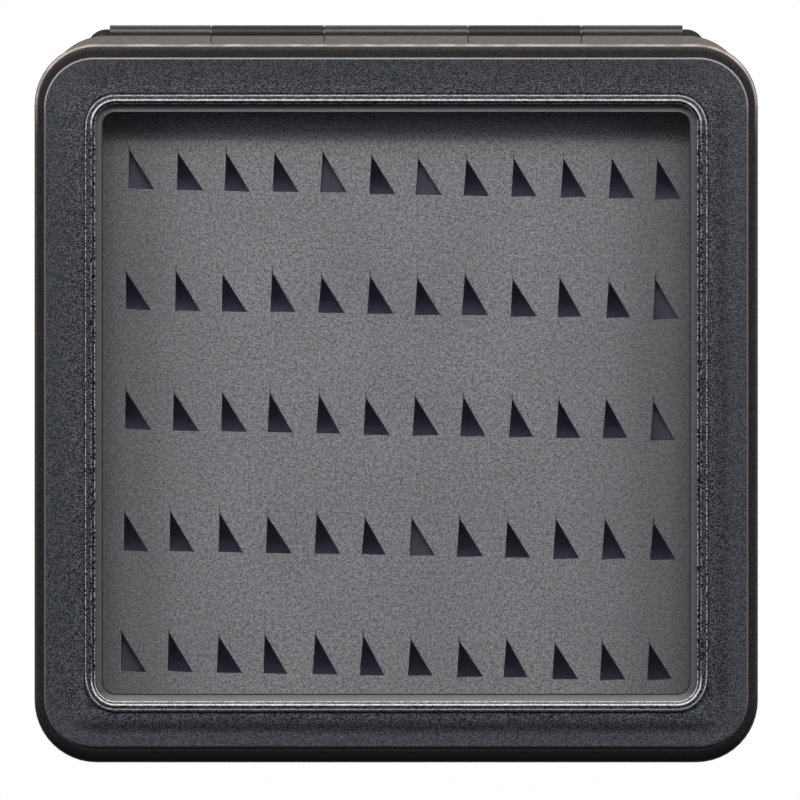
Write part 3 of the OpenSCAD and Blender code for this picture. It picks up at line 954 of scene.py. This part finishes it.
def mounting_tape():
    material, tree, shader = new_material("mounting_tape")
    inner = distance_from(tree, tape_high.x - TAPE_WIDTH, tape_high.y - TAPE_WIDTH, TAPE_CORNER)
    y = position(tree, "Y")
    front = past(tree, y, -tape_high.y, TAPE_END_BAND)
    back = past(tree, y, tape_high.y, TAPE_END_BAND)
    cut = steps_between(tree, inner, *CUT_BAND, 1.0, 0.0)
    # Painted light: paler at the front, darker at the sides.
    tape_with_painted_light = mix_colours(tree, front, TAPE_SIDE, TAPE_FRONT)
    cut_colour = mix_colours(tree, back, CUT_DARK, CUT_LIT)
    join(tree, mix_colours(tree, cut, tape_with_painted_light, cut_colour), shader.inputs["Base Color"])
    join(tree, share_to(tree, cut, TAPE_HAZE, CUT_HAZE), shader.inputs["Alpha"])
    shader.inputs["Roughness"].default_value = TAPE_ROUGHNESS
    polish(shader)
    add_bump(tree, shader, cut, 1.0, BEAD_HEIGHT)
    return material


finish_with("window_tape", mounting_tape())
print("tape finished, with a strip", round(TAPE_WIDTH / MM, 1), "mm wide")

# %% [markdown]
# ## The foam sheet
#
# The foam is cut by a die: sixty steep triangles, each with a slit that runs on from its tip,
# where the hook goes in. The die's knives aren't set quite alike: to the right the triangles
# lean a little more, and their bases rise. The real cuts differ too, so each slot is shifted
# and stretched by a hair, from a fixed seed. In a few slots the waste has stayed behind near
# the surface, and those look grey instead of black.
#
# A filled flat curve with holes is the easiest way to a plate with sixty cut-outs: its outline
# is one spline and each slot another, its thickness is the curve's extrusion, and a small bevel
# rounds the cut edges as soft foam does. It is turned into a mesh once, and a thin backing
# plate is joined on under it, at the bottom of the slots.

# %% Set the sizes of the foam's slots
ROWS = 5
COLUMNS = 12
ROW_PITCH = 22.54 * MM
COLUMN_PITCH = 8.965 * MM
PATTERN_LEFT = 1.26 * MM
PATTERN_FRONT = 6.04 * MM
PATTERN_TURN = Matrix.Rotation(math.radians(-1.15), 2)
FIRST_SLOT = Vector(
    (
        -(COLUMNS - 1) / 2 * COLUMN_PITCH - PATTERN_LEFT,
        -(ROWS - 1) / 2 * ROW_PITCH - PATTERN_FRONT,
    )
)
ROW_SLIP = 0.07 * MM
SLOT_WIDTH = 4.78 * MM
SLOT_HEIGHT = 7.2 * MM
SLOT_DEPTH = 6.4 * MM
SLOT_LEAN = 0.38 * MM
UPRIGHT_COLUMN = 1
LEANS_OVER = 3
BASE_RISE = 0.035 * MM
LEVEL_COLUMN = 3
SLIT_LENGTH = 1.5 * MM
SLIT_WIDTH = 0.03 * MM
SLIT_END = 0.1 * SLIT_WIDTH
FOAM_CORNER = 6.65 * MM
EDGE_ROUND = 0.16 * MM
# Slots with waste left in them, as (row from the front, column from the left).
FILLED_SLOTS = {(4, 0), (4, 4), (4, 6), (3, 11), (2, 11), (1, 6), (0, 0)}
WASTE_DEPTH = 1.5 * MM
print("foam", round((foam_high.x - foam_low.x) / MM, 1), "mm wide,", ROWS * COLUMNS, "slots")

# %% Draw the outline of the sheet and of each slot
# How much single slots differ: shares of a size, and then millimetres.
WIDTH_CHANGE = (-0.05, 0.05)
HEIGHT_CHANGE = (-0.06, 0.05)
SLIT_CHANGE = (0.35, 1)
LEAN_CHANGE = (-0.12, 0.12)
RISE_CHANGE = (-0.1, 0.1)
SIDE_SHIFT = (-0.2, 0.2)
ROW_SHIFT = (-0.12, 0.12)
chance = random.Random(11)


def slot_corners(row, column):
    """The corners of one slot in the sheet's plane: a leaning triangle with a slit at its tip."""
    width = SLOT_WIDTH * (1 + chance.uniform(*WIDTH_CHANGE))
    height = SLOT_HEIGHT * (1 + chance.uniform(*HEIGHT_CHANGE))
    leaning = SLOT_LEAN * min(1, (column - UPRIGHT_COLUMN) / LEANS_OVER)
    lean = leaning + chance.uniform(*LEAN_CHANGE) * MM
    rise = BASE_RISE * (column - LEVEL_COLUMN) + chance.uniform(*RISE_CHANGE) * MM
    slit = SLIT_LENGTH * chance.uniform(*SLIT_CHANGE)
    shift = Vector((chance.uniform(*SIDE_SHIFT) * MM, chance.uniform(*ROW_SHIFT) * MM))
    place = Vector((column * COLUMN_PITCH - row * ROW_SLIP, row * ROW_PITCH))
    start = FIRST_SLOT + place + shift
    corners = [
        (0, 0),
        (width, rise),
        (SLIT_WIDTH + lean, height),
        (SLIT_END + lean, height + slit),
        (lean, height + slit),
        (lean, height),
    ]
    return [PATTERN_TURN @ (start + Vector(corner)) for corner in corners]


def rounded_corners(half_width, half_depth, radius, steps=8):
    """Points round a rectangle with rounded corners, counter-clockwise."""
    points = []
    for turn, (sx, sy) in enumerate(((1, 1), (-1, 1), (-1, -1), (1, -1))):
        centre = Vector((sx * (half_width - radius), sy * (half_depth - radius)))
        for step in range(steps + 1):
            angle = math.radians(90 * (turn + step / steps))
            points.append(centre + Vector((math.cos(angle), math.sin(angle))) * radius)
    return points


sheet_outline = rounded_corners(foam_high.x, foam_high.y, FOAM_CORNER)
slots = {
    (row, column): slot_corners(row, column) for row in range(ROWS) for column in range(COLUMNS)
}
print("sheet outline has", len(sheet_outline), "points")

# %% Turn outlines into solid plates
BEVEL_STEPS = 2
SAME_PLACE = 1e-7


def plate_from_outlines(name, outlines, low, high, rounding=0.0):
    """A plate between two heights: its first outline is the edge, and the others are holes."""
    curve = bpy.data.curves.new(name, "CURVE")
    curve.dimensions = "2D"
    curve.fill_mode = "BOTH"
    curve.extrude = (high - low) / 2 - rounding
    curve.bevel_depth = rounding
    curve.bevel_resolution = BEVEL_STEPS
    curve.offset = -rounding
    for outline in outlines:
        spline = curve.splines.new("POLY")
        spline.points.add(len(outline) - 1)
        for point, place in zip(spline.points, outline):
            point.co = (place.x, place.y, 0, 1)
        spline.use_cyclic_u = True
    drawn = add_object(name, curve)
    mesh = bpy.data.meshes.new_from_object(
        drawn.evaluated_get(bpy.context.evaluated_depsgraph_get())
    )
    bpy.data.objects.remove(drawn)
    mesh.transform(Matrix.Translation((0, 0, (low + high) / 2)))
    return add_object(name, mesh)


def join_pieces(name, pieces):
    """Puts several meshes into one piece."""
    whole = bmesh.new()
    for piece in pieces:
        whole.from_mesh(piece.data)
        bpy.data.objects.remove(piece)
    bmesh.ops.remove_doubles(whole, verts=whole.verts, dist=SAME_PLACE)
    mesh = bpy.data.meshes.new(name)
    whole.to_mesh(mesh)
    whole.free()
    return add_object(name, mesh)


print("plates get rounded edges in", BEVEL_STEPS, "steps")

# %% Put the foam sheet together
slot_floor = foam_high.z - SLOT_DEPTH
cut_layer = plate_from_outlines(
    "cut_layer", [sheet_outline, *slots.values()], slot_floor, foam_high.z, EDGE_ROUND
)
backing = plate_from_outlines("backing", [sheet_outline], foam_low.z, slot_floor)
waste_top = foam_high.z - WASTE_DEPTH
waste = [
    plate_from_outlines("waste", [slots[place][:3]], slot_floor, waste_top, EDGE_ROUND)
    for place in sorted(FILLED_SLOTS)
]
foam_sheet = join_pieces("foam_sheet", [cut_layer, backing, *waste])
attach(foam_sheet, "tray")
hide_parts("foam_insert")
print("foam_sheet has", len(foam_sheet.data.polygons), "faces")

# %% [markdown]
# ## Foam: its finish
#
# Closed-cell foam has a fine, even speckle: each cut cell is a tiny cup with a dark bottom. It
# scatters light, so it is rough all over. The sheet is painted darker near its left and right
# edges: painted shade, where the side walls hide part of the long lamps. It has faint cloudy
# patches. The upper walls of a slot are painted dark: painted shade. Its lower part is painted
# paler, painted light, so that a slot doesn't end in pure black.
# Under the sheet lies a brushed-on film of adhesive.

# %% Finish the foam
FOAM_COLOUR = (0.367, 0.385, 0.410)
FOAM_DARK = (0.105, 0.111, 0.122)
# Painted shade on a slot's upper walls, and painted light on its lower part.
FOAM_INSIDE = (0.077, 0.080, 0.110)
FOAM_FLOOR = (0.33, 0.33, 0.46)
FOAM_ROUGHNESS = 0.85
FOAM_SHINE = 0.3
CELL_SIZE = 0.33 * MM
CELL_CONTRAST = 0.54
CELL_BUMP = 0.5
CELL_DEPTH = 0.12 * MM
CLOUD_SIZE = 14 * MM
CLOUD_CONTRAST = 0.5
CLOUD_SHARE = 0.18
SIDE_BAND = (0.4, 0.9)
# Painted shade near the left and right edges.
SIDE_DARK = 0.5
INSIDE_BAND = (0.1 * MM, 0.9 * MM)
DEEP_BAND = (2.5 * MM, 4.5 * MM)


def foam_material():
    material, tree, shader = new_material("foam")
    cells = place_grain(tree, CELL_SIZE, CELL_CONTRAST)
    clouds = place_grain(tree, CLOUD_SIZE, CLOUD_CONTRAST)
    speckled = mix_colours(tree, cells.outputs["Speckle"], FOAM_DARK, FOAM_COLOUR)
    cloudiness = times(tree, clouds.outputs["Speckle"], CLOUD_SHARE)
    cloudy = mix_colours(tree, cloudiness, speckled, FOAM_DARK)
    sideways = maths(tree, "ABSOLUTE", position(tree, "X"))
    # Painted shade near the left and right edges.
    wear_and_painted_light = past(tree, sideways, foam_high.x, SIDE_BAND, SIDE_DARK)
    painted_light = mix_colours(tree, wear_and_painted_light, cloudy, FOAM_DARK)
    depth = maths(tree, "SUBTRACT", foam_high.z, position(tree, "Z"))
    # Painted shade on a slot's upper walls and painted light on its lower part.
    inside = steps_between(tree, depth, *INSIDE_BAND)
    deep = steps_between(tree, depth, *DEEP_BAND)
    cut = mix_colours(tree, deep, FOAM_INSIDE, FOAM_FLOOR)
    join(tree, mix_colours(tree, inside, painted_light, cut), shader.inputs["Base Color"])
    shader.inputs["Roughness"].default_value = FOAM_ROUGHNESS
    polish(shader, FOAM_SHINE)
    add_bump(tree, shader, cells.outputs["Height"], CELL_BUMP, CELL_DEPTH)
    return material


foam_sheet.data.materials.append(foam_material())
print("foam finished, with cells of", round(CELL_SIZE / MM, 2), "mm")

# %% Finish the adhesive film
FILM_DARK = (0.40, 0.38, 0.30)
FILM_PALE = (0.55, 0.52, 0.42)
FILM_SIZE = 1.5 * MM
FILM_CONTRAST = 0.8
FILM_ROUGHNESS = 0.45


def adhesive_material():
    material, tree, shader = new_material("adhesive")
    brushed = place_grain(tree, FILM_SIZE, FILM_CONTRAST)
    colour = mix_colours(tree, brushed.outputs["Speckle"], FILM_DARK, FILM_PALE)
    join(tree, colour, shader.inputs["Base Color"])
    shader.inputs["Roughness"].default_value = FILM_ROUGHNESS
    return material


finish_with("foam_adhesive", adhesive_material())
print("film finished")

# %% [markdown]
# ## The floor
#
# The photograph's background is pure white, with only a faint shadow where the box touches it.
# The floor is a plain pale sheet. Seen by the camera, or in a reflection or through the window,
# it shines white by itself, and part of it stays a real surface so that the shadow is kept.

# %% Lay the floor
FLOOR_SIZE = 4.0
FLOOR_COLOUR = (0.8, 0.8, 0.8, 1)
FLOOR_ROUGHNESS = 0.9
FLOOR_GLOW = 0.996
WHITE = (1, 1, 1, 1)


def floor_material():
    material, tree, shader = new_material("floor")
    shader.inputs["Base Color"].default_value = FLOOR_COLOUR
    shader.inputs["Roughness"].default_value = FLOOR_ROUGHNESS
    path = add_node(tree, "ShaderNodeLightPath")
    mirrored = larger(tree, path.outputs["Is Glossy Ray"], path.outputs["Is Transmission Ray"])
    seen = larger(tree, path.outputs["Is Camera Ray"], mirrored)
    glow = add_node(tree, "ShaderNodeEmission", {"Color": WHITE, "Strength": 1.0})
    surface_from(tree, times(tree, seen, FLOOR_GLOW), shader, glow)
    return material


half = FLOOR_SIZE / 2
floor_mesh = bpy.data.meshes.new("floor")
floor_mesh.from_pydata(
    [(-half, -half, 0), (half, -half, 0), (half, half, 0), (-half, half, 0)], [], [(0, 1, 2, 3)]
)
floor_mesh.materials.append(floor_material())
floor = add_object("floor", floor_mesh)
print("floor laid,", FLOOR_SIZE, "m wide")
